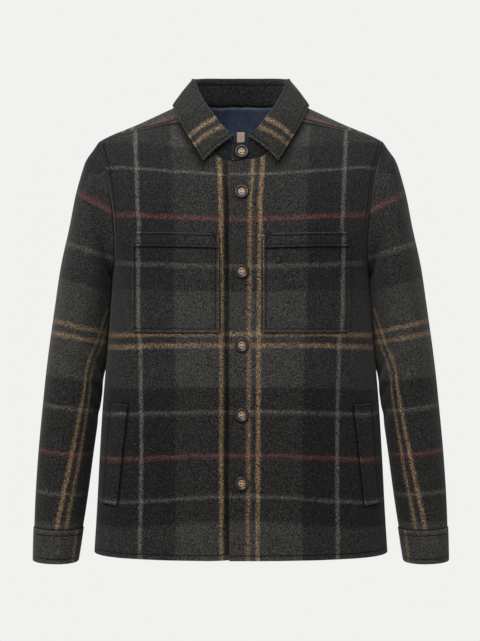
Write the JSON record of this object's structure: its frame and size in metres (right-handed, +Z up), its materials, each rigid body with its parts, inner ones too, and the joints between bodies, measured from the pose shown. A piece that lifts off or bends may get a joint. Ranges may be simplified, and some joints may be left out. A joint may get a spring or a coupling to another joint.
{
  "type": "shacket",
  "caption": "Plaid wool shirt jacket in its worn, filled-out form with nobody in it: buttoned front, turned-down collar, chest patch pockets, side welts and cuffed sleeves.",
  "frame": {"origin": "midway between the two points where the shoulder meets the neck, where the wearer carries the jacket", "axes": "+Z up, -Y towards the front with the buttons, +X towards the wearer's left"},
  "size_m": [0.66, 0.2415, 0.7781],
  "materials": {
    "wool_plaid": "brushed wool in a charcoal plaid",
    "lining": "smooth navy satin",
    "label_tape": "plain cotton tape",
    "horn_button": "horn-look resin, tan centre and dark rim"
  },
  "bodies": {
    "root": {"front_left": "wool_plaid", "front_right": "wool_plaid", "back": "wool_plaid", "sleeve_left": "wool_plaid", "sleeve_right": "wool_plaid", "cuff_left": "wool_plaid", "cuff_right": "wool_plaid", "collar_stand": "wool_plaid", "collar_leaf": "wool_plaid", "pocket_left": "wool_plaid", "pocket_right": "wool_plaid", "pocket_band_left": "wool_plaid", "pocket_band_right": "wool_plaid", "welt_left": "wool_plaid", "welt_right": "wool_plaid", "back_lining": "lining", "neck_label": "label_tape", "button_1": "horn_button", "button_2": "horn_button", "button_3": "horn_button", "button_4": "horn_button", "button_5": "horn_button", "button_6": "horn_button"}
  },
  "joints": []
}
